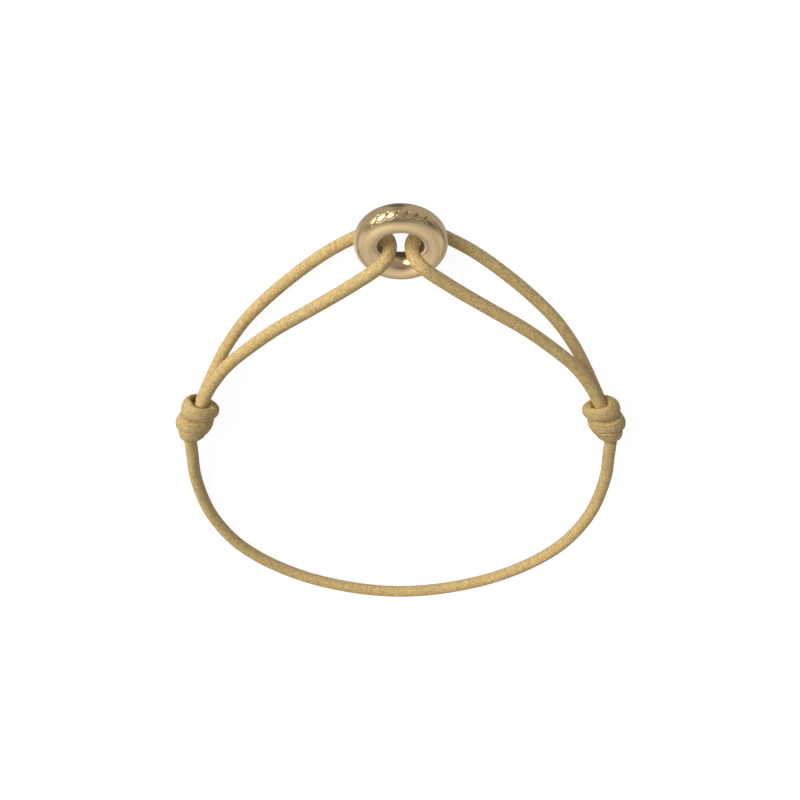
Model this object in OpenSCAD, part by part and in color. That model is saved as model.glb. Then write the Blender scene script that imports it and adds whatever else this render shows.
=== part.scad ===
// Cord bracelet: a metal ring held by two doubled loops of cord, each tied to
// one round cord by a wound sliding knot. It lies flat, with its face up.
// X runs across the wrist, Y runs from the cord at the back to the ring, Z is up.

/* [Cord] */
// Diameter of the cord
cord_d = 1.5; // [1.3:0.05:1.5]

/* [Ring] */
// Outer diameter of the ring
ring_d = 10; // [9.8:0.1:10.2]
// Width of the ring's wall, from its hole to its rim
wall_w = 2.7; // [2.4:0.05:2.7]
// Thickness of the ring, along its hole
wall_h = 3.15; // [3:0.05:3.2]
// Lean of the ring over the two strands under it, in degrees
ring_lean = 19; // [17:1:21]
// Height of the ring's centre above the surface
ring_z = 3.4; // [3.4:0.05:3.5]

/* [Knots] */
// Sides of a knot's outline
knot_sides = 20; // [12:4:28]
// Sections between a knot's cord and the rim of its mouth
knot_sections = 26; // [18:1:32]
// Depth of the mouth that the two strands go into
mouth_depth = 1.3; // [1:0.1:1.6]

/* [Hidden] */
metal_colour = "#c8aa72";
cord_colour = "#d2b070";
cord_sides = 8;

// Where the ring's hole is centred along Y
ring_y = 27.7;

// Left half of the back cord's route, from the left knot to the middle
back_half = [
    [-26.75, -1.55, 2.15], [-26.95, -4, 1.75], [-27.25, -7.5, 1.25],
    [-27.1, -11, 0.9], [-26.5, -14.5, 0.75], [-25.2, -18, 0.75],
    [-23.2, -21.4, 0.75], [-20.5, -24.3, 0.75], [-17.2, -26.8, 0.75],
    [-13.4, -28.9, 0.75], [-9.2, -30.45, 0.75], [-4.7, -31.5, 0.75]
];
back_middle = [0, -31.9, 0.75];

// Left loop's route: from the mouth of the knot along the upper strand, over
// the ring, down through its hole, under it and back along the lower strand
loop_route = [
    [-24.85, 4.45, 3.1], [-24.05, 5.95, 3.1], [-22.8, 8.25, 3.15],
    [-20.5, 11.4, 3.4], [-17.5, 14.3, 3.75], [-14, 17.2, 4.1],
    [-10, 19.95, 4.45], [-6.5, 22.4, 4.75], [-4.4, 24, 5],
    [-3.1, 25, 5.1], [-2.2, 25.75, 5], [-1.5, 26.35, 4.4],
    [-1.2, 26.8, 3.45], [-1.25, 27.1, 2.4], [-1.6, 27.2, 1.5],
    [-2.15, 27.15, 0.95], [-2.95, 27.3, 0.75], [-4.1, 27.3, 0.75],
    [-5.4, 26.75, 0.75], [-8.2, 25.1, 0.75], [-11.5, 22.6, 0.75],
    [-15, 19.5, 0.75], [-18, 16.4, 0.85], [-20.5, 13, 1.1],
    [-22.3, 9.8, 1.4], [-23.6, 7.2, 1.5], [-24.85, 4.6, 1.55]
];

// Left knot: where its cord leaves it, the middle of its mouth, and the way
// that its turns face
knot_exit = [-26.75, -1.3, 2.15];
knot_mouth = [-24.7, 4.45, 2.35];
knot_yaw = 8;
knot_pitch = -5;
// Half width and half height of the mouth, which holds one strand over another
mouth_half = [1.05, 1.7];
// The turns wound round the strands, from the mouth to the back cord
STATION = 0; // distance from the exit, along the knot
RADIUS = 1;  // radius of the turn's middle line
ALONG = 2;   // half the cord's width along the knot
ACROSS = 3;  // half the cord's width across it
SHIFT = 4;   // how far the turn lies away from the wrist
LEAN = 5;    // slope of the turn, away from the wrist and up the knot
turns = [
    [5.45, 1.54, 1.05, 0.74, 0, 0.14],
    [3.55, 1.55, 1.0, 0.72, 0.12, 0.06],
    [2.05, 0.95, 1.15, 0.72, 0.12, 0]
];
// Length of the cone by which the knot grows out of its cord, and its reach
neck_length = 2.6;
neck_reach = 1.7;

// The same route on the other side of the wrist
function mirrored(route) = [for (p = route) [-p.x, p.y, p.z]];
function reversed(route) = [for (i = [len(route) - 1:-1:0]) route[i]];
back_route = concat(back_half, [back_middle], reversed(mirrored(back_half)));

function unit(v) = v / norm(v);
// Direction of a route at one of its points
function heading(route, i) =
    unit(route[min(i + 1, len(route) - 1)] - route[max(i - 1, 0)]);
// A direction square to the cord, as near upright as the last one was
function square_to(way, last) = unit(last - (last * way) * way);
function uprights(route, i = 0, last = [0, 0, 1]) =
    i == len(route) ? [] :
    let (now = square_to(heading(route, i), last))
    concat([now], uprights(route, i + 1, now));

// Triangles between rings of points, with a flat end on the first and last
function tube_faces(rings, sides) = concat(
    [[for (j = [0:sides - 1]) j]],
    [for (i = [0:rings - 2], j = [0:sides - 1])
        let (a = i * sides + j, b = i * sides + (j + 1) % sides)
        [a, a + sides, b]],
    [for (i = [0:rings - 2], j = [0:sides - 1])
        let (a = i * sides + j, b = i * sides + (j + 1) % sides)
        [b, a + sides, b + sides]],
    [[for (j = [sides - 1:-1:0]) (rings - 1) * sides + j]]
);

// A round cord along a route
module cord(route) {
    ups = uprights(route);
    points = [for (i = [0:len(route) - 1], j = [0:cord_sides - 1])
        let (way = heading(route, i), up = ups[i], side = cross(way, up),
             a = 360 * j / cord_sides)
        route[i] + cord_d / 2 * (cos(a) * up + sin(a) * side)];
    polyhedron(points, tube_faces(len(route), cord_sides));
}

// The knot's own directions: along it, away from the wrist, and upwards
knot_along = [sin(knot_yaw) * cos(knot_pitch), cos(knot_yaw) * cos(knot_pitch),
              sin(knot_pitch)];
knot_out = unit(cross([0, 0, 1], knot_along));
knot_up = cross(knot_along, knot_out);
knot_length = (knot_mouth - knot_exit) * knot_along;
rim = turns[0];

// How far the mouth reaches from the knot's middle at an angle round it
function mouth_reach(a) =
    1 / sqrt(pow(cos(a) / mouth_half.x, 2) + pow(sin(a) / mouth_half.y, 2));
function outer_reach(turn, a) = turn[RADIUS] + turn[ACROSS] + turn[SHIFT] * cos(a);
// Middle line of a turn; the one round the mouth lies halfway out of it
function middle_reach(turn, a) = turn == rim
    ? (outer_reach(turn, a) + mouth_reach(a)) / 2
    : turn[RADIUS] + turn[SHIFT] * cos(a);
function station(turn, a) =
    turn[STATION] + turn[LEAN] * (turn[RADIUS] + turn[ACROSS]) * cos(a);
// Reach of one turn's outside at a distance s along the knot, or nothing there
function turn_reach(turn, s, a) =
    let (u = (s - station(turn, a)) / turn[ALONG], m = middle_reach(turn, a))
    abs(u) < 1 ? m + (outer_reach(turn, a) - m) * sqrt(1 - u * u) : 0;
function neck(s) =
    cord_d / 2 + (neck_reach - cord_d / 2) * sin(90 * min(s / neck_length, 1));
function knot_reach(s, a) =
    max(concat([min(neck(s), middle_reach(rim, a))],
               [for (turn = turns) turn_reach(turn, s, a)]));
function knot_point(s, a, reach) =
    knot_exit + s / knot_length * (knot_mouth - knot_exit)
    + reach * (cos(a) * knot_out + sin(a) * knot_up);
function crest(a) = station(rim, a) + rim[ALONG];

// A knot: its turns' outside up to the rim, then down into the mouth
module knot() {
    step = 360 / knot_sides;
    outside = [for (i = [0:knot_sections], j = [0:knot_sides - 1])
        let (a = j * step, s = crest(a) * i / knot_sections)
        knot_point(s, a, knot_reach(s, a))];
    inside = [for (q = [45, 90], j = [0:knot_sides - 1])
        let (a = j * step, m = middle_reach(rim, a))
        knot_point(station(rim, a) + rim[ALONG] * cos(q), a,
                   m - (m - mouth_reach(a)) * sin(q))];
    floor_ring = [for (j = [0:knot_sides - 1])
        let (a = j * step)
        knot_point(crest(a) - mouth_depth, a, mouth_reach(a))];
    polyhedron(concat(outside, inside, floor_ring),
               tube_faces(knot_sections + 4, knot_sides));
}

// A ring with a rounded wall, leaning back over the strands under it
module ring() {
    flat = wall_h - wall_w;
    color(metal_colour) translate([0, ring_y, ring_z]) rotate([ring_lean, 0, 0])
        rotate_extrude($fn = 96) translate([(ring_d - wall_w) / 2, 0]) {
            translate([0, flat / 2]) circle(d = wall_w, $fn = 48);
            translate([0, -flat / 2]) circle(d = wall_w, $fn = 48);
            square([wall_w, flat], center = true);
        }
}

module cord_back() { color(cord_colour) cord(back_route); }
module loop_left() { color(cord_colour) cord(loop_route); }
module loop_right() { color(cord_colour) mirror([1, 0, 0]) cord(loop_route); }
module knot_left() { color(cord_colour) knot(); }
module knot_right() { color(cord_colour) mirror([1, 0, 0]) knot(); }

ring();
cord_back();
loop_left();
loop_right();
knot_left();
knot_right();
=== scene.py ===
"""Cord bracelet: a satin metal ring, two doubled loops of woven cord, two wound knots and one back cord.

It lies on a pale floor with its face up. X runs across the wrist, Y from the back cord to the ring, Z is up.
Lengths are in metres.
"""

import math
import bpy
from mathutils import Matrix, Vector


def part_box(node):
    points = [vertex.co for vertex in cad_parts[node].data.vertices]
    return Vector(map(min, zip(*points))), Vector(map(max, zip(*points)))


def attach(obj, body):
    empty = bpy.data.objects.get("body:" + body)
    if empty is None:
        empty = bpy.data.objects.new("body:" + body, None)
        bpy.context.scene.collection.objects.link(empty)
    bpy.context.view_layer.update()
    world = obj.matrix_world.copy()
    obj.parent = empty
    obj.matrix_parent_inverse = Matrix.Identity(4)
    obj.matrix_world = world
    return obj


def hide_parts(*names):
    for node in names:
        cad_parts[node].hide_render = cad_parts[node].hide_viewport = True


bl_info = {
    "name": "Cord bracelet",
    "version": (1, 0, 0),
    "blender": (4, 5, 0),
    "location": "View3D > Sidebar > Bracelet",
    "description": "Builds a cord bracelet with a metal ring and wound knots",
    "category": "Add Mesh",
}

import bmesh
import bpy
from bpy.props import FloatProperty, FloatVectorProperty, IntProperty, PointerProperty
from mathutils import Matrix, Vector, noise
from mathutils.kdtree import KDTree

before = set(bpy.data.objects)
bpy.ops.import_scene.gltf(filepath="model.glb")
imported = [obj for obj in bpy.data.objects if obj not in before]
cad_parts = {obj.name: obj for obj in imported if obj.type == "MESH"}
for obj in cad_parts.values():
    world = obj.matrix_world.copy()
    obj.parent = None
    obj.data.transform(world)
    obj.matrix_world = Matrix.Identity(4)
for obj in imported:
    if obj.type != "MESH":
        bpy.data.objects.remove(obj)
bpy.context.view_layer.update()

MM = 0.001
CORD_RADIUS = 0.00075

# The back cord's route from the left knot to its middle
BACK_HALF = [
    (-0.02675, -0.00155, 0.00215),
    (-0.02695, -0.004, 0.00175),
    (-0.02725, -0.0075, 0.00125),
    (-0.0271, -0.011, 0.0009),
    (-0.0265, -0.0145, 0.00075),
    (-0.0252, -0.018, 0.00075),
    (-0.0232, -0.0214, 0.00075),
    (-0.0205, -0.0243, 0.00075),
    (-0.0172, -0.0268, 0.00075),
    (-0.0134, -0.0289, 0.00075),
    (-0.0092, -0.03045, 0.00075),
    (-0.0047, -0.0315, 0.00075),
]
BACK_MIDDLE = (0, -0.0319, 0.00075)

# The left loop's route: out of the knot along the upper strand, over the ring, down through its hole,
# under it and back along the lower strand
LOOP_ROUTE = [
    (-0.02485, 0.00445, 0.0031),
    (-0.02405, 0.00595, 0.0031),
    (-0.0228, 0.00825, 0.00315),
    (-0.0205, 0.0114, 0.0034),
    (-0.0175, 0.0143, 0.00375),
    (-0.014, 0.0172, 0.0041),
    (-0.01, 0.01995, 0.00445),
    (-0.0065, 0.0224, 0.00475),
    (-0.0044, 0.024, 0.005),
    (-0.0031, 0.025, 0.0051),
    (-0.0022, 0.02575, 0.005),
    (-0.0015, 0.02635, 0.0044),
    (-0.0012, 0.0268, 0.00345),
    (-0.00125, 0.0271, 0.0024),
    (-0.0016, 0.0272, 0.0015),
    (-0.00215, 0.02715, 0.00095),
    (-0.00295, 0.0273, 0.00075),
    (-0.0041, 0.0273, 0.00075),
    (-0.0054, 0.02675, 0.00075),
    (-0.0082, 0.0251, 0.00075),
    (-0.0115, 0.0226, 0.00075),
    (-0.015, 0.0195, 0.00075),
    (-0.018, 0.0164, 0.00085),
    (-0.0205, 0.013, 0.0011),
    (-0.0223, 0.0098, 0.0014),
    (-0.0236, 0.0072, 0.0015),
    (-0.02485, 0.0046, 0.00155),
]
# Where the loop's route turns from the upper to the lower strand, as a share of its length
BEND_SHARE = 0.49

# The left knot: where its cord leaves it, the middle of its mouth, and the way its turns face
KNOT_EXIT = Vector((-0.02675, -0.0013, 0.00215))
KNOT_MOUTH = Vector((-0.0247, 0.00445, 0.00235))
KNOT_YAW = math.radians(8)
KNOT_PITCH = math.radians(-5)


def length_setting(name, default, description):
    return FloatProperty(
        name=name, description=description, default=default, unit="LENGTH", precision=6
    )


def colour_setting(name, default, description):
    return FloatVectorProperty(
        name=name, description=description, subtype="COLOR", default=default, size=3, min=0, max=1
    )


class CordSettings(bpy.types.PropertyGroup):
    """Sizes and colour of the round cord."""

    back_radius: length_setting("Back radius", 0.785 * MM, "Radius of the cord round the back")
    upper_radius: length_setting("Upper radius", 0.735 * MM, "Radius of the strands over the ring")
    lower_radius: length_setting("Lower radius", 0.7 * MM, "Radius of the strands under the ring")
    bend_radius: length_setting("Bend radius", 0.83 * MM, "Radius where the cord bends under the ring")
    sides: IntProperty(name="Sides", description="Faces round the cord", default=40, min=8)
    step: length_setting("Step", 0.15 * MM, "Length of one face along the cord")
    colour: colour_setting("Colour", (0.98, 0.71, 0.315), "Colour of the cord's threads")


class KnotSettings(bpy.types.PropertyGroup):
    """Sizes of the wound knots."""

    mouth_depth: length_setting("Mouth depth", 1.9 * MM, "How deep the strands go into the mouth")
    wrinkle: length_setting("Wrinkle", 0.045 * MM, "Height of the wrinkles of the squeezed cord")
    sides: IntProperty(name="Sides", description="Faces round the knot", default=300, min=16)
    sections: IntProperty(name="Sections", description="Faces along the knot", default=150, min=16)


class RingSettings(bpy.types.PropertyGroup):
    """Sizes and colour of the metal ring."""

    diameter: length_setting("Diameter", 10 * MM, "Outer diameter")
    wall_width: length_setting("Wall width", 2.7 * MM, "From the hole to the rim")
    wall_height: length_setting("Wall height", 3.15 * MM, "Thickness along the hole")
    lean: FloatProperty(
        name="Lean", description="Turn about X over the strands under it", default=math.radians(19),
        subtype="ANGLE",
    )
    groove_width: length_setting("Groove width", 0.19 * MM, "Width of an engraved line")
    groove_depth: length_setting("Groove depth", 0.055 * MM, "Depth of an engraved line")
    colour: colour_setting("Colour", (0.82, 0.6, 0.33), "Colour of the metal")


class StageSettings(bpy.types.PropertyGroup):
    """Camera, floor and lights."""

    camera_place: FloatVectorProperty(
        name="Camera place", description="Where the camera stands", subtype="TRANSLATION",
        default=(-0.000079, 0.07348, 0.0892), size=3, precision=6,
    )
    camera_height: FloatProperty(
        name="Camera height", description="Angle of the view above the floor",
        default=math.radians(52), subtype="ANGLE",
    )
    lens: FloatProperty(name="Lens", description="Focal length in millimetres", default=40.5)
    floor_colour: colour_setting("Floor colour", (0.66, 0.66, 0.66), "Colour of the floor")


def select_only(obj):
    """obj alone is selected and active."""
    bpy.ops.object.select_all(action="DESELECT")
    obj.select_set(True)
    bpy.context.view_layer.objects.active = obj


def new_object(name, data):
    """An object with this data, in the scene."""
    obj = bpy.data.objects.new(name, data)
    bpy.context.scene.collection.objects.link(obj)
    return obj


def new_mesh_object(name, points, faces):
    """An object at the origin with this mesh, smooth all over."""
    mesh = bpy.data.meshes.new(name)
    mesh.from_pydata([tuple(p) for p in points], [], faces)
    mesh.update()
    obj = new_object(name, mesh)
    for polygon in mesh.polygons:
        polygon.use_smooth = True
    return obj


def tube_faces(rows, sides):
    """Faces of a closed tube whose points lie in rows, so many sides to a row, with a cap on each end."""
    faces = []
    for i in range(rows - 1):
        for j in range(sides):
            a = i * sides + j
            b = i * sides + (j + 1) % sides
            faces.append((a, b, b + sides, a + sides))
    last = (rows - 1) * sides
    return faces + [tuple(range(sides - 1, -1, -1)), tuple(range(last, last + sides))]


def dress(obj, node, material):
    """obj stands for a node, rides on the bracelet and takes a material."""
    obj.data.materials.clear()
    obj.data.materials.append(material)
    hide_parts(node)
    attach(obj, "root")


# Routes and tubes


def mirrored(points):
    return [Vector((-p[0], p[1], p[2])) for p in points]


def lengthened(points, reach):
    """The points with one more straight beyond each end, reach millimetres away."""
    start = points[0] + (points[0] - points[1]).normalized() * reach * MM
    end = points[-1] + (points[-1] - points[-2]).normalized() * reach * MM
    return [start] + points + [end]


# Points of the smooth curve for each step of the finished line
FINE_POINTS = 4


def curve_through(points, step):
    """Points a step apart along a smooth curve through points."""
    points = [Vector(p) for p in points]
    ends = [2 * points[0] - points[1]] + points + [2 * points[-1] - points[-2]]
    fine = []
    for before, a, b, after in zip(ends, ends[1:], ends[2:], ends[3:]):
        length = (b - a).length
        tangent_a = (b - before) * (length / ((a - before).length + length))
        tangent_b = (after - a) * (length / ((after - b).length + length))
        count = max(2, int(length / step * FINE_POINTS))
        for i in range(count):
            t = i / count
            fine.append(
                a * (2 * t**3 - 3 * t**2 + 1)
                + tangent_a * (t**3 - 2 * t**2 + t)
                + b * (3 * t**2 - 2 * t**3)
                + tangent_b * (t**3 - t**2)
            )
    fine.append(points[-1])
    return even_steps(fine, step)


def even_steps(points, step):
    """The same line with its points evenly spaced."""
    lengths = [0.0]
    for a, b in zip(points, points[1:]):
        lengths.append(lengths[-1] + (b - a).length)
    count = max(2, round(lengths[-1] / step))
    spaced = []
    at = 0
    for i in range(count + 1):
        goal = lengths[-1] * i / count
        while at < len(points) - 2 and lengths[at + 1] < goal:
            at += 1
        share = (goal - lengths[at]) / max(lengths[at + 1] - lengths[at], 1e-12)
        spaced.append(points[at].lerp(points[at + 1], min(share, 1)))
    return spaced


def relaxed(points, passes):
    """The line with its small kinks smoothed out, its ends kept."""
    for _ in range(passes):
        inner = [(a + 2 * b + c) / 4 for a, b, c in zip(points, points[1:], points[2:])]
        points = [points[0]] + inner + [points[-1]]
    return points


def smoothstep(low, high, x):
    t = min(max((x - low) / (high - low), 0), 1)
    return t * t * (3 - 2 * t)


def tube(name, path, radius_at, sides):
    """A closed round tube along path, with a UV map of turns along and round it."""
    along = 0.0
    points = []
    distances = []
    up = Vector((0, 0, 1))
    for i, centre in enumerate(path):
        way = (path[min(i + 1, len(path) - 1)] - path[max(i - 1, 0)]).normalized()
        up = (up - up.dot(way) * way).normalized()
        side = way.cross(up)
        if i:
            along += (centre - path[i - 1]).length
        distances.append(along)
        radius = radius_at(i / (len(path) - 1))
        for j in range(sides):
            angle = 2 * math.pi * j / sides
            points.append(centre + radius * (math.cos(angle) * up + math.sin(angle) * side))
    obj = new_mesh_object(name, points, tube_faces(len(path), sides))
    girth = 2 * math.pi * CORD_RADIUS
    layer = obj.data.uv_layers.new(name="Thread")
    for polygon in obj.data.polygons:
        is_cap = polygon.loop_total != 4
        for k, loop_index in enumerate(polygon.loop_indices):
            row, column = divmod(obj.data.loops[loop_index].vertex_index, sides)
            beyond_seam = column == 0 and k in (1, 2) and not is_cap
            share = 1.0 if beyond_seam else column / sides
            layer.data[loop_index].uv = (distances[row] / girth, share)
    return obj


# Shader nodes


class Nodes:
    """Short ways to add and link the nodes of one tree."""

    def __init__(self, tree):
        self.tree = tree

    def add(self, kind, inputs=None, **settings):
        node = self.tree.nodes.new(kind)
        for key, value in settings.items():
            setattr(node, key, value)
        for key, value in (inputs or {}).items():
            self.put(value, node.inputs[key])
        return node

    def put(self, value, socket):
        if isinstance(value, bpy.types.NodeSocket):
            self.tree.links.new(value, socket)
        else:
            socket.default_value = value

    def math(self, operation, a, b=0.0):
        return self.add("ShaderNodeMath", {0: a, 1: b}, operation=operation).outputs[0]

    def ranged(self, value, from_low, from_high, to_low, to_high):
        """The value moved from one range to another, and kept inside it."""
        ends = {"From Min": from_low, "From Max": from_high, "To Min": to_low, "To Max": to_high}
        return self.add("ShaderNodeMapRange", {"Value": value, **ends}).outputs["Result"]

    def mixed(self, factor, a, b):
        """The colour a where factor is 0, and b where it is 1."""
        return self.add("ShaderNodeMix", {0: factor, 6: a, 7: b}, data_type="RGBA").outputs[2]

    def chosen(self, factor, a, b):
        """The number a where factor is 0, and b where it is 1."""
        return self.add("ShaderNodeMix", {0: factor, 2: a, 3: b}, data_type="FLOAT").outputs[0]

    def chosen_shader(self, factor, a, b):
        """The shader of node a where factor is 0, and of node b where it is 1."""
        return self.add("ShaderNodeMixShader", {0: factor, 1: a.outputs[0], 2: b.outputs[0]})

    def vector(self, operation, a, b=(0.0, 0.0, 0.0), output="Vector"):
        return self.add("ShaderNodeVectorMath", {0: a, 1: b}, operation=operation).outputs[output]


def group_tree(name, inputs, outputs):
    """A shader node group and its two end nodes. An input without a value is a vector."""
    tree = bpy.data.node_groups.new(name, "ShaderNodeTree")
    for label, value in inputs.items():
        kind = "NodeSocketVector" if value is None else "NodeSocketFloat"
        item = tree.interface.new_socket(name=label, in_out="INPUT", socket_type=kind)
        if value is not None:
            item.default_value = value
    for label in outputs:
        tree.interface.new_socket(name=label, in_out="OUTPUT", socket_type="NodeSocketFloat")
    return tree, tree.nodes.new("NodeGroupInput"), tree.nodes.new("NodeGroupOutput")


# How round a thread is along each pick, as a power: 0 is level, and 1 is as round as across it
PICK_ROUNDNESS = 0.35
# Levels of the noise at which a mask is 0 and 1
FLECK_EDGES = (0.38, 0.58)
MOTTLE_EDGES = (0.3, 0.7)


def weave_group():
    """Braided threads: a height and a mask of the crevices, from turns along and round the cord."""
    tree, start, end = group_tree(
        "Thread weave", {"Turns": None, "Threads": 16.0, "Picks": 17.0}, ("Height", "Crevice")
    )
    n = Nodes(tree)
    parts = n.add("ShaderNodeSeparateXYZ", {0: start.outputs["Turns"]})
    along = n.math("MULTIPLY", parts.outputs[0], start.outputs["Picks"])
    around = n.math("MULTIPLY", parts.outputs[1], start.outputs["Threads"])
    one = n.math("ADD", along, around)
    other = n.math("SUBTRACT", along, around)
    rise_one = n.math("SINE", n.math("MULTIPLY", n.math("FRACT", one), math.pi))
    rise_other = n.math("SINE", n.math("MULTIPLY", n.math("FRACT", other), math.pi))
    cells = n.math("ADD", n.math("FLOOR", one), n.math("FLOOR", other))
    over = n.math("FLOORED_MODULO", cells, 2.0)
    height_one = n.math("MULTIPLY", rise_one, n.math("POWER", rise_other, PICK_ROUNDNESS))
    height_other = n.math("MULTIPLY", rise_other, n.math("POWER", rise_one, PICK_ROUNDNESS))
    height = n.chosen(over, height_one, height_other)
    n.put(height, end.inputs["Height"])
    n.put(n.math("POWER", n.math("SUBTRACT", 1.0, height), 2.0), end.inputs["Crevice"])
    return tree


def fleck_group():
    """Short flecks from 0 to 1 that lie along the threads, from turns along and round the cord."""
    tree, start, end = group_tree(
        "Thread flecks", {"Turns": None, "Twist": 1.0, "Stretch": 1.0, "Scale": 6.0}, ("Mask",)
    )
    n = Nodes(tree)
    parts = n.add("ShaderNodeSeparateXYZ", {0: start.outputs["Turns"]})
    along, around = parts.outputs[0], parts.outputs[1]
    twisted = n.math("ADD", around, n.math("MULTIPLY", along, start.outputs["Twist"]))
    angle = n.math("MULTIPLY", twisted, 2 * math.pi)
    stretched = n.math("DIVIDE", n.math("MULTIPLY", along, 2 * math.pi), start.outputs["Stretch"])
    place = n.add(
        "ShaderNodeCombineXYZ", {0: stretched, 1: n.math("COSINE", angle), 2: n.math("SINE", angle)}
    )
    flecks = n.add(
        "ShaderNodeTexNoise",
        {"Vector": place.outputs[0], "Scale": start.outputs["Scale"], "Detail": 2.0, "Roughness": 0.6},
    )
    n.put(n.ranged(flecks.outputs[0], *FLECK_EDGES, 0.0, 1.0), end.inputs["Mask"])
    return tree


def mottle_group():
    """Soft uneven patches from 0 to 1, from Object coordinates."""
    tree, start, end = group_tree("Soft mottle", {"Place": None, "Scale": 1000.0}, ("Mask",))
    n = Nodes(tree)
    patches = n.add(
        "ShaderNodeTexNoise",
        {"Vector": start.outputs["Place"], "Scale": start.outputs["Scale"], "Detail": 3.0, "Roughness": 0.6},
    )
    n.put(n.ranged(patches.outputs[0], *MOTTLE_EDGES, 0.0, 1.0), end.inputs["Mask"])
    return tree


def own_node(tree, kind):
    """The node of a type that a new tree comes with."""
    return next(node for node in tree.nodes if node.type == kind)


def new_material(name):
    """A material, the nodes of its tree and its shader."""
    material = bpy.data.materials.new(name)
    material.use_nodes = True
    return material, Nodes(material.node_tree), own_node(material.node_tree, "BSDF_PRINCIPLED")


def shaded(colour, share):
    """The colour made darker, or lighter where share is over 1."""
    return tuple(min(1.0, c * share) for c in colour) + (1.0,)


# Two crossing sets of flecks along the threads of the open cord: twist, stretch and scale
FLECK_TWISTS = (1.1, -1.1)
FLECK_STRETCH = 2.2
FLECK_SCALE = 5.5
# Scales of the two grains of the tight cord
GRAIN_SCALES = (4000.0, 9000.0)
# Soft patches of both cords: scale, and shares of the colour in the darker and the lighter ones
PATCH_SCALE = 1100.0
PATCH_SHADES = (0.97, 1.06)
# How dark the painted shade in the crevices between the threads gets, and how high the threads are beside the
# flecks
PAINTED_CREVICE_SHADE = 0.5
THREAD_RELIEF = 0.5


def cord_speckle(n, uv, place, flecks, mottle, tight):
    """Light and dark flecks from 0 to 1. A tight cord shows rounder, rougher ones."""
    if tight:
        sets = [
            n.add("ShaderNodeGroup", {"Place": place, "Scale": scale}, node_tree=mottle)
            for scale in GRAIN_SCALES
        ]
        low, high = 0.2, 1.5
    else:
        thread = {"Turns": uv, "Stretch": FLECK_STRETCH, "Scale": FLECK_SCALE}
        sets = [
            n.add("ShaderNodeGroup", {**thread, "Twist": twist}, node_tree=flecks)
            for twist in FLECK_TWISTS
        ]
        low, high = 0.0, 2.0
    together = n.math("ADD", sets[0].outputs["Mask"], sets[1].outputs["Mask"])
    return n.ranged(together, low, high, 0.0, 1.0)


def cord_material(name, colour, groups, tight, contrast, depth):
    """Woven cord with satin threads, with painted shade in the crevices between them."""
    weave, flecks, mottle = groups
    material, n, shader = new_material(name)
    uv = n.add("ShaderNodeUVMap", uv_map="Thread").outputs[0]
    place = n.add("ShaderNodeTexCoord").outputs["Object"]
    threads = n.add("ShaderNodeGroup", {"Turns": uv}, node_tree=weave)
    patches = n.add("ShaderNodeGroup", {"Place": place, "Scale": PATCH_SCALE}, node_tree=mottle)
    speckle = cord_speckle(n, uv, place, flecks, mottle, tight)
    darker, lighter = (shaded(colour, share) for share in PATCH_SHADES)
    dark = shaded(colour, 1 - contrast)
    base = n.mixed(patches.outputs["Mask"], darker, lighter)
    flecked = n.mixed(n.math("SUBTRACT", 1.0, speckle), base, dark)
    # Painted shade: the colour goes darker in the crevices between the threads
    gap = n.math("MULTIPLY", threads.outputs["Crevice"], PAINTED_CREVICE_SHADE)
    n.put(n.mixed(gap, flecked, dark), shader.inputs["Base Color"])
    relief = n.math("ADD", n.math("MULTIPLY", threads.outputs["Height"], THREAD_RELIEF), speckle)
    bump = n.add("ShaderNodeBump", {"Height": relief, "Distance": depth, "Strength": 1.0})
    n.put(bump.outputs[0], shader.inputs["Normal"])
    shader.inputs["Roughness"].default_value = 0.62
    shader.inputs["Specular IOR Level"].default_value = 0.3
    return material


# The ring's point attribute that is 1 in the engraved lines
ENGRAVED = "Engraved"
# Soft clouds on the metal: scale, share of the colour in the darker ones, and roughness
CLOUD_SCALE = 700.0
CLOUD_SHADE = 0.94
CLOUD_ROUGHNESS = (0.15, 0.2)
# Polishing marks: scale and depth
MARK_SCALE = 9000.0
MARK_DEPTH = 0.0006 * MM
# Tarnish in the engraved lines: share of the colour, and how much of it covers the metal
TARNISH_SHADE = 0.3
TARNISH_COVER = 0.8


def metal_material(colour, mottle):
    """Satin gold-coloured metal with faint polishing marks, tarnished in the engraved lines."""
    material, n, shader = new_material("Satin metal")
    place = n.add("ShaderNodeTexCoord").outputs["Object"]
    cloud = n.add("ShaderNodeGroup", {"Place": place, "Scale": CLOUD_SCALE}, node_tree=mottle)
    marks = n.add("ShaderNodeGroup", {"Place": place, "Scale": MARK_SCALE}, node_tree=mottle)
    face = n.mixed(cloud.outputs["Mask"], shaded(colour, CLOUD_SHADE), shaded(colour, 1.0))
    engraved = n.add("ShaderNodeAttribute", attribute_name=ENGRAVED).outputs["Fac"]
    cover = n.math("MULTIPLY", engraved, TARNISH_COVER)
    n.put(n.mixed(cover, face, shaded(colour, TARNISH_SHADE)), shader.inputs["Base Color"])
    n.put(n.ranged(cloud.outputs["Mask"], 0.0, 1.0, *CLOUD_ROUGHNESS), shader.inputs["Roughness"])
    height = {"Height": marks.outputs["Mask"], "Distance": MARK_DEPTH, "Strength": 1.0}
    n.put(n.add("ShaderNodeBump", height).outputs[0], shader.inputs["Normal"])
    shader.inputs["Metallic"].default_value = 1.0
    return material


# Pieces


# Shares of the loop's length, counted from BEND_SHARE, over which the cord gets thinner for the lower strand,
# fuller for the bend, and less full after it
THINNER = (0.0, 0.06)
FULLER = (-0.03, 0.025)
LESS_FULL = (0.04, 0.07)
# How far the routes go on beyond their ends, inside the knots, in millimetres
BACK_INSIDE = 0.5
LOOP_INSIDE = 0.7


def loop_radius(settings):
    """The radius along a loop: fuller over the ring and in its bend, thinner under the ring."""

    def change(share, span):
        return smoothstep(BEND_SHARE + span[0], BEND_SHARE + span[1], share)

    def at(share):
        blend = change(share, THINNER)
        swell = change(share, FULLER) * (1 - change(share, LESS_FULL))
        straight = settings.upper_radius + (settings.lower_radius - settings.upper_radius) * blend
        return straight + (settings.bend_radius - settings.upper_radius) * swell

    return at


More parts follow.
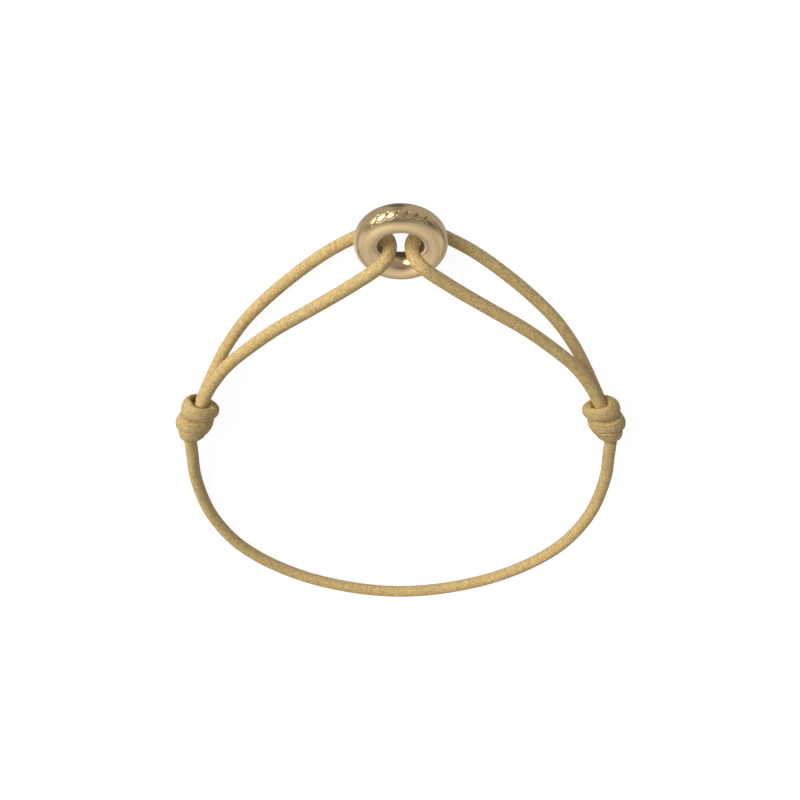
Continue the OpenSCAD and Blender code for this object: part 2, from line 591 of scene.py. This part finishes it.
def rested(path, radius):
    """The path lifted where the cord would sink into the floor."""
    return [Vector((p.x, p.y, max(p.z, radius))) for p in path]


class BRACELET_OT_cords(bpy.types.Operator):
    """Builds the back cord and the two doubled loops"""

    bl_idname = "bracelet.cords"
    bl_label = "Cords"

    def execute(self, context):
        settings = context.scene.bracelet_cord
        groups = (weave_group(), fleck_group(), mottle_group())
        material = cord_material(
            "Woven cord", settings.colour, groups, tight=False, contrast=0.54, depth=0.03 * MM
        )
        points = [Vector(p) for p in BACK_HALF] + [Vector(BACK_MIDDLE)] + mirrored(BACK_HALF)[::-1]
        path = relaxed(curve_through(lengthened(points, BACK_INSIDE), settings.step), passes=12)
        path = rested(path, settings.back_radius)
        back = tube("back_cord", path, lambda share: settings.back_radius, settings.sides)
        dress(back, "cord_back", material)
        for name, node, points in (
            ("left_loop", "loop_left", [Vector(p) for p in LOOP_ROUTE]),
            ("right_loop", "loop_right", mirrored(LOOP_ROUTE)),
        ):
            path = relaxed(curve_through(lengthened(points, LOOP_INSIDE), settings.step), passes=3)
            piece = tube(name, path, loop_radius(settings), settings.sides)
            # The ring doesn't reflect the loops: a painted reflection of them, and painted shade, are part of
            # the floor's patches
            piece.visible_glossy = False
            dress(piece, node, material)
        return {"FINISHED"}


def knot_directions():
    """Along the knot, away from the wrist, and up."""
    along = Vector((
        math.sin(KNOT_YAW) * math.cos(KNOT_PITCH),
        math.cos(KNOT_YAW) * math.cos(KNOT_PITCH),
        math.sin(KNOT_PITCH),
    ))
    out = Vector((0, 0, 1)).cross(along).normalized()
    return along, out, along.cross(out)


# The turns wound round the strands, from the mouth to the back cord, in millimetres: distance from the
# exit, radius of the middle line, half the cord's width along and across the knot, shift away from the
# wrist, slope away from the wrist and slope upwards
TURN_NAMES = ("station", "radius", "along", "across", "shift", "lean", "rise")
TURNS = [
    dict(zip(TURN_NAMES, row))
    for row in (
        (5.75, 1.67, 1.15, 0.72, -0.08, 0.14, 0.13),
        (3.7, 1.54, 1.15, 0.75, 0.2, 0.02, 0.08),
        (1.95, 0.97, 1.05, 0.74, 0.13, 0.0, 0.0),
    )
]
# A bump on one side of the knot is given as its size and the middle and half width of that side in degrees.
# The mouth hugs its two strands, which lie one over the other. The left one gapes on the side away from the
# wrist, and the right one is narrower there and opens a little beside its strand
MOUTH_WIDTH = 0.82
MOUTH_MIDDLES = 0.76
LEFT_GAPE = 0.62
RIGHT_GAPE = -0.6 * LEFT_GAPE
GAPING = (1, -28, 80)
RIGHT_OPENING = (0.3, 150, 30)
# Length of plain cord before the knot swells, length of the swelling, and reach before and after it
NECK_START = 0.4
NECK_LENGTH = 2.0
NECK_REACHES = (0.775, 1.6)
# Lower side of the knot next to the wrist, where the rim dips
RIM_DIP = (0.3, 240, 75)
# Side where the rim presses on its strand: its outside and its crest come in, its shoulder is fuller, and it
# curves into its mouth over less depth
PRESSED = (1, 155, 100)
PRESSED_OUTSIDE = 0.1
# Where the rim's crest lies between its mouth and its outside, and how much further in when pressed or gaping
CREST_SHARE = 0.5
CREST_PRESSED = 0.25
CREST_GAPING = 0.08
# Depth over which the rim curves into its mouth, and how much less when pressed
RIM_DEPTH = 0.9
RIM_DEPTH_PRESSED = 0.5
# A small fold of the left knot's rim beside its strand
LEFT_FOLD = (0.24, 150, 16)
# How much the turns widen into the grooves: the second turn upwards and downwards next to the wrist, and the
# rim's turn downwards away from the wrist and, with a minus, next to it
SECOND_BELOW = 1.15
SECOND_FILLS_ABOVE = (0.45, 190, 100)
SECOND_FILLS_BELOW = (0.5, 170, 150)
RIM_BULGE = (0.3, 40, 50)
RIM_TUCK = (0.45, 185, 75)
# Creases pressed in between the turns: level on the side away from the wrist, rise towards the upper side,
# middle and half width in degrees of the side where the crease is deep, depth, and height of the lip below it
LEFT_CREASES = ((4.97, 0.0, 62, 120, 0.52, 0.28), (1.9, 1.2, 35, 75, 0.2, 0.05))
RIGHT_CREASES = ((4.97, 0.0, 70, 130, 0.3, 0.15), (1.9, 1.2, 60, 90, 0.28, 0.14))
CREASE_HALF_WIDTH = 0.24
# The crease's flat bottom and the distance of its lip, as shares of its half width
CREASE_BOTTOM = 0.1
LIP_DISTANCE = 1.6


def round_bump(a, size, middle, width):
    """The size at the middle of a side, falling to 0 at its half width. The side is in degrees."""
    away = abs((a - math.radians(middle) + math.pi) % (2 * math.pi) - math.pi)
    return size * (1 - smoothstep(0, math.radians(width), away))


class KnotShape:
    """The reach of a wound knot's surface from its middle line, in millimetres, at the angle a round it."""

    def __init__(self, left):
        self.rim = TURNS[0]
        self.left = left
        self.creases = LEFT_CREASES if left else RIGHT_CREASES

    def pressed(self, a):
        return round_bump(a, *PRESSED)

    def mouth_reach(self, a):
        across, high = abs(math.cos(a)), abs(math.sin(a))
        if across * MOUTH_MIDDLES > MOUTH_WIDTH * high:
            hug = MOUTH_WIDTH / across
        else:
            hug = MOUTH_MIDDLES * high + math.sqrt(MOUTH_WIDTH**2 - (MOUTH_MIDDLES * across) ** 2)
        if self.left:
            return hug + LEFT_GAPE * round_bump(a, *GAPING)
        return hug + round_bump(a, *RIGHT_OPENING) + RIGHT_GAPE * round_bump(a, *GAPING)

    def outer_reach(self, turn, a):
        reach = turn["radius"] + turn["across"] + turn["shift"] * math.cos(a)
        return reach - PRESSED_OUTSIDE * self.pressed(a) if turn is self.rim else reach

    def crest_reach(self, a):
        """How far out the crest of the rim lies."""
        share = CREST_SHARE - CREST_PRESSED * self.pressed(a) - CREST_GAPING * round_bump(a, *GAPING)
        return self.mouth_reach(a) + share * (self.outer_reach(self.rim, a) - self.mouth_reach(a))

    def rim_round(self, a):
        """Depth over which the rim curves into the mouth."""
        return RIM_DEPTH - RIM_DEPTH_PRESSED * self.pressed(a)

    def middle_reach(self, turn, a):
        return turn["radius"] + turn["shift"] * math.cos(a)

    def station(self, turn, a):
        reach = turn["radius"] + turn["across"]
        level = turn["station"] + reach * (turn["lean"] * math.cos(a) + turn["rise"] * math.sin(a))
        return level - round_bump(a, *RIM_DIP) if turn is self.rim else level

    def turn_reach(self, turn, s, a, above=1.0, below=1.0):
        """Reach of one turn's outside, with its upper and lower halves widened, or nothing there."""
        u = (s - self.station(turn, a)) / turn["along"]
        u /= above if u > 0 else below
        if abs(u) >= 1:
            return 0.0
        middle, power = self.middle_reach(turn, a), 2.0
        if turn is self.rim and u > 0:
            middle, power = self.crest_reach(a), 2 + self.pressed(a)
        return middle + (self.outer_reach(turn, a) - middle) * (1 - abs(u) ** power) ** (1 / power)

    def neck(self, s):
        """Reach of the knot's body under its turns."""
        thin, full = NECK_REACHES
        share = min(max(s - NECK_START, 0) / NECK_LENGTH, 1)
        return thin + (full - thin) * math.sin(math.pi / 2 * share)

    def crest(self, a):
        """Distance of the rim's crest from the exit."""
        return self.station(self.rim, a) + self.rim["along"] * self.crest_stretch(a)

    def crest_stretch(self, a):
        return 1 + round_bump(a, *LEFT_FOLD) if self.left else 1.0

    def reach(self, s, a):
        """The turns' outside at a distance s from the exit, with the creases pressed in."""
        if s >= self.crest(a) - 1e-9:
            return self.crest_reach(a)
        first, second, third = TURNS
        above = 1 + round_bump(a, *SECOND_FILLS_ABOVE)
        below = SECOND_BELOW + round_bump(a, *SECOND_FILLS_BELOW)
        bulge = 1 + round_bump(a, *RIM_BULGE) - round_bump(a, *RIM_TUCK)
        reach = max(
            self.neck(s),
            self.turn_reach(first, s, a, self.crest_stretch(a), bulge),
            self.turn_reach(second, s, a, above, below),
            self.turn_reach(third, s, a),
        )
        half = CREASE_HALF_WIDTH
        for level, rise, middle, width, depth, lip in self.creases:
            share = round_bump(a, 1, middle, width)
            away = s - level - rise * max(math.sin(a), 0)
            reach -= share * depth * (1 - smoothstep(CREASE_BOTTOM * half, half, abs(away)))
            reach += share**2 * lip * (1 - smoothstep(0, half, abs(away + LIP_DISTANCE * half)))
        return reach


# Steps of the rim's curve into the mouth in degrees, steps down the mouth's wall as shares of its depth, and
# how much narrower the mouth is at its bottom
RIM_STEPS = (15, 30, 45, 60, 75, 90)
MOUTH_STEPS = (0.35, 0.7, 1.0)
MOUTH_TAPER = 0.1
# Wrinkles: reach at which their pattern is read, scales of the folds round and along the knot, scale of the
# lumps, and distances from the exit over which they begin
WRINKLE_REACH = 2.2
FOLD_SCALE = 2.6
FOLD_SCALE_ALONG = 0.9
LUMP_SCALE = 0.8
WRINKLES_BEGIN = (0.2, 0.8)
# Mean reach of a turn's outside, which sets how many threads go round the knot
THREAD_REACH = 2.0


def knot_rows(shape, settings, angles):
    """Rows of a distance from the exit and a reach for each angle: outside, rim and the mouth's wall."""
    rows = []
    for i in range(settings.sections + 1):
        levels = [shape.crest(a) * i / settings.sections for a in angles]
        rows.append([(s, shape.reach(s, a)) for s, a in zip(levels, angles)])
    for step in RIM_STEPS:
        turn = math.radians(step)
        rows.append([
            (
                shape.crest(a) - shape.rim_round(a) * (1 - math.cos(turn)),
                shape.crest_reach(a) - (shape.crest_reach(a) - shape.mouth_reach(a)) * math.sin(turn),
            )
            for a in angles
        ])
    deep = settings.mouth_depth / MM
    for part in MOUTH_STEPS:
        rows.append([
            (
                shape.crest(a) - shape.rim_round(a) - (deep - shape.rim_round(a)) * part,
                shape.mouth_reach(a) * (1 - MOUTH_TAPER * part),
            )
            for a in angles
        ])
    return rows


def wrinkles(a, s):
    """Folds and lumps of the squeezed cord, about -1 to 1."""
    wave = Vector((math.cos(a) * WRINKLE_REACH, math.sin(a) * WRINKLE_REACH, s))
    squeezed = Vector((wave.x * FOLD_SCALE, wave.y * FOLD_SCALE, s * FOLD_SCALE_ALONG))
    return noise.fractal(squeezed, 1.0, 2.0, 3) + noise.noise(wave * LUMP_SCALE)


def wind_threads(obj, rows, sides):
    """A UV map whose threads run round the knot, with one seam along it."""
    layer = obj.data.uv_layers.new(name="Thread")
    girth = 2 * math.pi * CORD_RADIUS / MM
    turns_round = round(2 * math.pi * THREAD_REACH / girth)
    distances = [s for row in rows for s, _ in row]
    for polygon in obj.data.polygons:
        indices = [obj.data.loops[k].vertex_index for k in polygon.loop_indices]
        columns = {v % sides for v in indices}
        at_seam = {0, sides - 1} <= columns
        for k, v in zip(polygon.loop_indices, indices):
            column = v % sides
            share = 1.0 if at_seam and column == 0 else column / sides
            layer.data[k].uv = (share * turns_round, distances[v] / girth)


def knot_piece(name, settings, side):
    """A wound knot with an open mouth. side is 1 for the left knot and -1 for the right one."""
    along, out, up = knot_directions()
    length = (KNOT_MOUTH - KNOT_EXIT).dot(along) / MM
    sides = settings.sides
    angles = [2 * math.pi * j / sides for j in range(sides)]
    rows = knot_rows(KnotShape(side > 0), settings, angles)
    points = []
    for row in rows:
        for a, (s, reach) in zip(angles, row):
            reach += settings.wrinkle / MM * wrinkles(a, s) * smoothstep(*WRINKLES_BEGIN, s)
            centre = KNOT_EXIT + (KNOT_MOUTH - KNOT_EXIT) * (s / length)
            point = centre + reach * MM * (math.cos(a) * out + math.sin(a) * up)
            points.append(Vector((point.x * side, point.y, max(point.z, 0))))
    faces = tube_faces(len(rows), sides)
    if side > 0:
        faces = [face[::-1] for face in faces]
    obj = new_mesh_object(name, points, faces)
    wind_threads(obj, rows, sides)
    return obj


class BRACELET_OT_knots(bpy.types.Operator):
    """Builds the two wound knots"""

    bl_idname = "bracelet.knots"
    bl_label = "Knots"

    def execute(self, context):
        settings = context.scene.bracelet_knot
        colour = context.scene.bracelet_cord.colour
        groups = [bpy.data.node_groups[name] for name in ("Thread weave", "Thread flecks", "Soft mottle")]
        material = cord_material("Wound cord", colour, groups, tight=True, contrast=0.62, depth=0.05 * MM)
        for name, node, side in (("left_knot", "knot_left", 1), ("right_knot", "knot_right", -1)):
            piece = knot_piece(name, settings, side)
            dress(piece, node, material)
        return {"FINISHED"}


# The engraved ornament: a running scroll of open curls that lean to the right
ORNAMENT_HALF_ANGLE = math.radians(36)
ORNAMENT_MIDDLE = math.radians(22)
ORNAMENT_SWING = math.radians(16)
ORNAMENT_CURLS = 6
CURL_WIDTH = math.radians(3.6)
CURL_LEAN = 0.16
# Share of the scroll's length over which it tapers at each end, and the number of its points
ORNAMENT_TAPER = 0.08
ORNAMENT_POINTS = 900
# Margins of the fine faces round the ornament, and how far round the wall it is cut, in radians
FINE_MARGIN_ROUND = 0.08
FINE_MARGIN_WALL = 0.16
CUT_WALL = 1.2
# Half the width of a line's flat bottom as a share of half the line's width
LINE_BOTTOM = 0.25


def ornament_lines():
    """Points of the ornament's lines as angles round the ring and round its wall."""
    lines = []
    for i in range(ORNAMENT_POINTS + 1):
        t = i / ORNAMENT_POINTS
        taper = smoothstep(0, ORNAMENT_TAPER, t) * smoothstep(0, ORNAMENT_TAPER, 1 - t)
        turn = 2 * math.pi * ORNAMENT_CURLS * t
        swing = ORNAMENT_SWING * (1 - taper * (1 - math.cos(turn)))
        way = ORNAMENT_HALF_ANGLE * (2 * t - 1) + CURL_WIDTH * taper * math.sin(turn)
        lines.append((way - CURL_LEAN * swing, ORNAMENT_MIDDLE + swing))
    return lines


class RingSection:
    """The ring's wall: two half circles joined by a short flat band."""

    def __init__(self, settings):
        self.radius = settings.wall_width / 2
        self.middle = (settings.diameter - settings.wall_width) / 2
        self.flat = (settings.wall_height - settings.wall_width) / 2

    def angles(self, p):
        """Angle round the ring from +Y, and angle round its wall from the rim."""
        out = math.hypot(p.x, p.y) - self.middle
        high = p.z - min(max(p.z, -self.flat), self.flat)
        return math.atan2(p.x, p.y), math.atan2(high, out)

    def point(self, round_angle, wall_angle, depth=0.0):
        out = self.middle + (self.radius - depth) * math.cos(wall_angle)
        high = (self.radius - depth) * math.sin(wall_angle)
        high += self.flat if wall_angle > 0 else -self.flat
        return Vector((out * math.sin(round_angle), out * math.cos(round_angle), high))


class BRACELET_OT_ring(bpy.types.Operator):
    """Builds the metal ring with its engraved ornament"""

    bl_idname = "bracelet.ring"
    bl_label = "Ring"

    def execute(self, context):
        settings = context.scene.bracelet_ring
        section = RingSection(settings)
        bpy.ops.object.select_all(action="DESELECT")
        bpy.ops.mesh.primitive_torus_add(
            major_radius=section.middle, minor_radius=section.radius,
            major_segments=240, minor_segments=72,
        )
        ring = context.active_object
        ring.name = ring.data.name = "metal_ring"
        ring.visible_glossy = False
        mesh = bmesh.new()
        mesh.from_mesh(ring.data)
        for v in mesh.verts:
            if abs(v.co.z) > 1e-7:
                v.co.z += math.copysign(section.flat, v.co.z)
        mesh.to_mesh(ring.data)
        mesh.free()
        self.refine(ring, section)
        self.engrave(ring, section, settings)
        centre = (Vector(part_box("ring")[0]) + Vector(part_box("ring")[1])) / 2
        ring.rotation_euler.x = settings.lean
        ring.location = (0, centre.y, centre.z)
        select_only(ring)
        bpy.ops.object.transform_apply(location=True, rotation=True, scale=True)
        for polygon in ring.data.polygons:
            polygon.use_smooth = True
        mottle = bpy.data.node_groups["Soft mottle"]
        dress(ring, "ring", metal_material(settings.colour, mottle))
        return {"FINISHED"}

    def refine(self, ring, section):
        """Fine faces where the ornament goes, on the same surface."""
        select_only(ring)
        bpy.ops.object.mode_set(mode="EDIT")
        bpy.ops.mesh.select_all(action="DESELECT")
        bpy.ops.mesh.select_mode(type="FACE")
        bpy.ops.object.mode_set(mode="OBJECT")
        for polygon in ring.data.polygons:
            round_angle, wall_angle = section.angles(polygon.center)
            near_round = abs(round_angle) < ORNAMENT_HALF_ANGLE + FINE_MARGIN_ROUND
            near_wall = abs(wall_angle - ORNAMENT_MIDDLE) < ORNAMENT_SWING + FINE_MARGIN_WALL
            polygon.select = near_round and near_wall
        bpy.ops.object.mode_set(mode="EDIT")
        bpy.ops.mesh.subdivide(number_cuts=4)
        bpy.ops.object.mode_set(mode="OBJECT")

    def engrave(self, ring, section, settings):
        """The ornament's lines cut into the wall, and marked for the tarnish."""
        lines = ornament_lines()
        tree = KDTree(len(lines))
        for i, (round_angle, wall_angle) in enumerate(lines):
            tree.insert(section.point(round_angle, wall_angle), i)
        tree.balance()
        half = settings.groove_width / 2
        engraved = ring.data.attributes.new(ENGRAVED, "FLOAT", "POINT")
        for v in ring.data.vertices:
            round_angle, wall_angle = section.angles(v.co)
            beyond_end = abs(round_angle) > ORNAMENT_HALF_ANGLE + FINE_MARGIN_ROUND
            if beyond_end or abs(wall_angle) > CUT_WALL or abs(v.co.z) <= section.flat:
                continue
            distance = tree.find(section.point(round_angle, wall_angle))[2]
            share = 1 - smoothstep(LINE_BOTTOM * half, half, distance)
            engraved.data[v.index].value = share
            v.co = section.point(round_angle, wall_angle, settings.groove_depth * share)


class BRACELET_OT_camera(bpy.types.Operator):
    """Places the camera"""

    bl_idname = "bracelet.camera"
    bl_label = "Camera"

    def execute(self, context):
        settings = context.scene.bracelet_stage
        data = bpy.data.cameras.new("Camera")
        data.lens = settings.lens
        data.sensor_width = 36
        data.clip_start = 0.005
        data.clip_end = 20
        camera = new_object("Camera", data)
        low = math.pi / 2 - settings.camera_height
        right = Vector((1, 0, 0))
        up = Vector((0, math.cos(low), -math.sin(low)))
        back = right.cross(up)
        turned = Matrix((right, up, back)).transposed().to_4x4()
        camera.matrix_world = Matrix.Translation(settings.camera_place) @ turned
        context.scene.camera = camera
        return {"FINISHED"}


LIGHT_DISTANCE = 0.5


def area_light(name, direction, shape, size, radiance, colour):
    """A soft light that shines on the bracelet from a direction, as bright from there at any size."""
    data = bpy.data.lights.new(name, "AREA")
    data.shape = shape
    data.size, data.size_y = size
    area = size[0] * size[1] * (math.pi / 4 if shape == "ELLIPSE" else 1)
    data.energy = radiance * math.pi * area
    data.color = colour
    light = new_object(name, data)
    way = direction.normalized()
    light.location = way * LIGHT_DISTANCE
    light.rotation_euler = way.to_track_quat("Z", "Y").to_euler()
    return light


def from_angles(azimuth, elevation):
    """A direction: azimuth from the camera's side, negative to the left, in degrees."""
    a, e = math.radians(azimuth), math.radians(elevation)
    return Vector((math.cos(e) * math.sin(a), math.cos(e) * math.cos(a), math.sin(e)))


WHITE = (1.0, 1.0, 1.0, 1.0)
# Shade and glow of the floor as the camera sees it
FLOOR_SHADE = 0.14
FLOOR_WHITENESS = 0.94
# Under the ring, where the cords lie, the floor as the ring reflects it has painted shade and a painted
# reflection of the cords in their colour
UNDER_RING = (0, 0.027, 0)
UNDER_RING_RADII = (0.0045, 0.0065)
UNDER_RING_PAINTED_REFLECTION_COLOUR = (1.0, 0.8, 0.6, 1.0)
# Brightness of the floor's painted glow as the ring reflects it, and its patches of painted shadow (share
# under 1) and painted light (share over 1): middle, squeeze along X, radius of the full patch and radius
# where it has faded away, and share of the brightness
REFLECTED_FLOOR_PAINTED_GLOW = 0.47
FLOOR_PAINTED_SHADE_AND_LIGHT = (
    ((-0.0008, 0.0375, 0), 2.5, (0.003, 0.008), 0.35),
    (UNDER_RING, 1.0, UNDER_RING_RADII, 0.19),
    ((0.03, 0.031, 0), 1.0, (0.008, 0.02), 0.4),
    ((-0.008, 0.021, 0), 1.0, (0.003, 0.01), 1.9),
    ((-0.023, 0.061, 0), 1.0, (0.014, 0.021), 3.5),
)
ROOM_COLOUR = (0.98, 0.99, 1.0, 1.0)
# Brightness of the room as the camera sees it, and as it lights the cords and the floor
ROOM_SEEN = 1.0
ROOM_SOFT = 0.31
# Brightness of the room as the ring reflects it, and its patches in degrees: azimuth, elevation, radius of
# the full patch, radius where it has faded away, and change in brightness
ROOM_LEVEL = 0.36
ROOM_PATCHES = (
    (-138, 50, 3, 25, 0.25),
    (-135, 32, 10, 60, 0.3),
    (150, 35, 15, 65, 0.25),
    (180, 72, 18, 45, 0.12),
    (-112, 0, 5, 40, 0.25),
    (115, 0, 5, 40, 0.2),
    (78, 5, 8, 36, -0.22),
    (-88, 18, 5, 22, -0.2),
    (-20, 70, 3, 20, -0.16),
    (40, 66, 3, 18, -0.1),
)


class BRACELET_OT_stage(bpy.types.Operator):
    """Adds the floor, the lights and the soft surroundings"""

    bl_idname = "bracelet.stage"
    bl_label = "Stage"

    def execute(self, context):
        self.floor(context.scene.bracelet_stage)
        self.surroundings(context.scene)
        key = area_light(
            "Key light", from_angles(-46, 30), "RECTANGLE", (0.36, 0.36), radiance=5.5,
            colour=(1.0, 0.95, 0.87),
        )
        key.visible_glossy = False
        gleam = area_light(
            "Gleam", from_angles(-39, 15), "ELLIPSE", (0.48, 0.38), radiance=3.0,
            colour=(1.0, 0.96, 0.88),
        )
        gleam.visible_diffuse = False
        context.scene.view_settings.view_transform = "Standard"
        return {"FINISHED"}

    def floor(self, settings):
        """A pale floor: one look for the camera, a painted glow with painted shadows and pools of light in
        reflections, and a plain one that takes light.
        """
        bpy.ops.object.select_all(action="DESELECT")
        bpy.ops.mesh.primitive_plane_add(size=3)
        plane = bpy.context.active_object
        plane.name = "floor"
        material, n, shader = new_material("Pale floor")
        shader.inputs["Base Color"].default_value = tuple(settings.floor_colour) + (1.0,)
        shader.inputs["Roughness"].default_value = 0.9
        shader.inputs["Specular IOR Level"].default_value = 0.0
        place = n.add("ShaderNodeTexCoord").outputs["Object"]
        # The floor as the ring reflects it: a painted glow with painted shadows and painted pools of light
        level = REFLECTED_FLOOR_PAINTED_GLOW
        for middle, squeeze, radii, share in FLOOR_PAINTED_SHADE_AND_LIGHT:
            away = n.vector("MULTIPLY", n.vector("SUBTRACT", place, middle), (squeeze, 1.0, 1.0))
            distance = n.vector("LENGTH", away, output="Value")
            level = n.math("MULTIPLY", level, n.ranged(distance, *radii, share, 1.0))
        # Painted reflection of the cords, in their colour, in the floor under the ring
        from_ring = n.vector("DISTANCE", place, UNDER_RING, output="Value")
        outside = n.ranged(from_ring, *UNDER_RING_RADII, 0.0, 1.0)
        painted_cord_reflection = n.mixed(outside, UNDER_RING_PAINTED_REFLECTION_COLOUR, WHITE)
        reflected = n.add("ShaderNodeEmission", {"Color": painted_cord_reflection, "Strength": level})
        shade = n.add("ShaderNodeBsdfDiffuse", {"Color": shaded(WHITE[:3], FLOOR_SHADE)})
        glow = n.add("ShaderNodeEmission", {"Color": WHITE, "Strength": FLOOR_WHITENESS})
        seen = n.add("ShaderNodeAddShader", {0: shade.outputs[0], 1: glow.outputs[0]})
        rays = n.add("ShaderNodeLightPath").outputs
        unseen = n.chosen_shader(rays["Is Glossy Ray"], shader, reflected)
        chosen = n.chosen_shader(rays["Is Camera Ray"], unseen, seen)
        output = own_node(material.node_tree, "OUTPUT_MATERIAL")
        n.put(chosen.outputs[0], output.inputs["Surface"])
        plane.data.materials.append(material)

    def surroundings(self, scene):
        """A soft room, with lighter and darker patches in reflections."""
        world = bpy.data.worlds.new("Soft room")
        scene.world = world
        world.use_nodes = True
        n = Nodes(world.node_tree)
        background = own_node(world.node_tree, "BACKGROUND")
        way = n.add("ShaderNodeTexCoord").outputs["Generated"]
        level = ROOM_LEVEL
        for azimuth, elevation, inner, outer, change in ROOM_PATCHES:
            near = n.vector("DOT_PRODUCT", way, from_angles(azimuth, elevation), output="Value")
            low, high = math.cos(math.radians(outer)), math.cos(math.radians(inner))
            level = n.math("ADD", level, n.ranged(near, low, high, 0.0, change))
        rays = n.add("ShaderNodeLightPath").outputs
        unseen = n.chosen(rays["Is Glossy Ray"], ROOM_SOFT, level)
        n.put(n.chosen(rays["Is Camera Ray"], unseen, ROOM_SEEN), background.inputs["Strength"])
        background.inputs["Color"].default_value = ROOM_COLOUR


class BRACELET_PT_panel(bpy.types.Panel):
    """Lists the bracelet's pieces in the sidebar."""

    bl_idname = "BRACELET_PT_panel"
    bl_label = "Bracelet"
    bl_space_type = "VIEW_3D"
    bl_region_type = "UI"
    bl_category = "Bracelet"

    def draw(self, context):
        layout = self.layout
        for operator in STEPS:
            layout.operator(operator.bl_idname)
        for key in SETTINGS:
            box = layout.box()
            settings = getattr(context.scene, key)
            for name in settings.__annotations__:
                box.prop(settings, name)


STEPS = (BRACELET_OT_camera, BRACELET_OT_cords, BRACELET_OT_knots, BRACELET_OT_ring, BRACELET_OT_stage)
SETTINGS = {
    "bracelet_cord": CordSettings,
    "bracelet_knot": KnotSettings,
    "bracelet_ring": RingSettings,
    "bracelet_stage": StageSettings,
}
CLASSES = tuple(SETTINGS.values()) + STEPS + (BRACELET_PT_panel,)


def register():
    for cls in CLASSES:
        bpy.utils.register_class(cls)
    for key, cls in SETTINGS.items():
        setattr(bpy.types.Scene, key, PointerProperty(type=cls))


def unregister():
    for key in SETTINGS:
        delattr(bpy.types.Scene, key)
    for cls in reversed(CLASSES):
        bpy.utils.unregister_class(cls)


def main():
    register()
    bpy.ops.bracelet.camera()
    bpy.ops.bracelet.cords()
    bpy.ops.bracelet.knots()
    bpy.ops.bracelet.ring()
    bpy.ops.bracelet.stage()


if __name__ == "__main__":
    main()
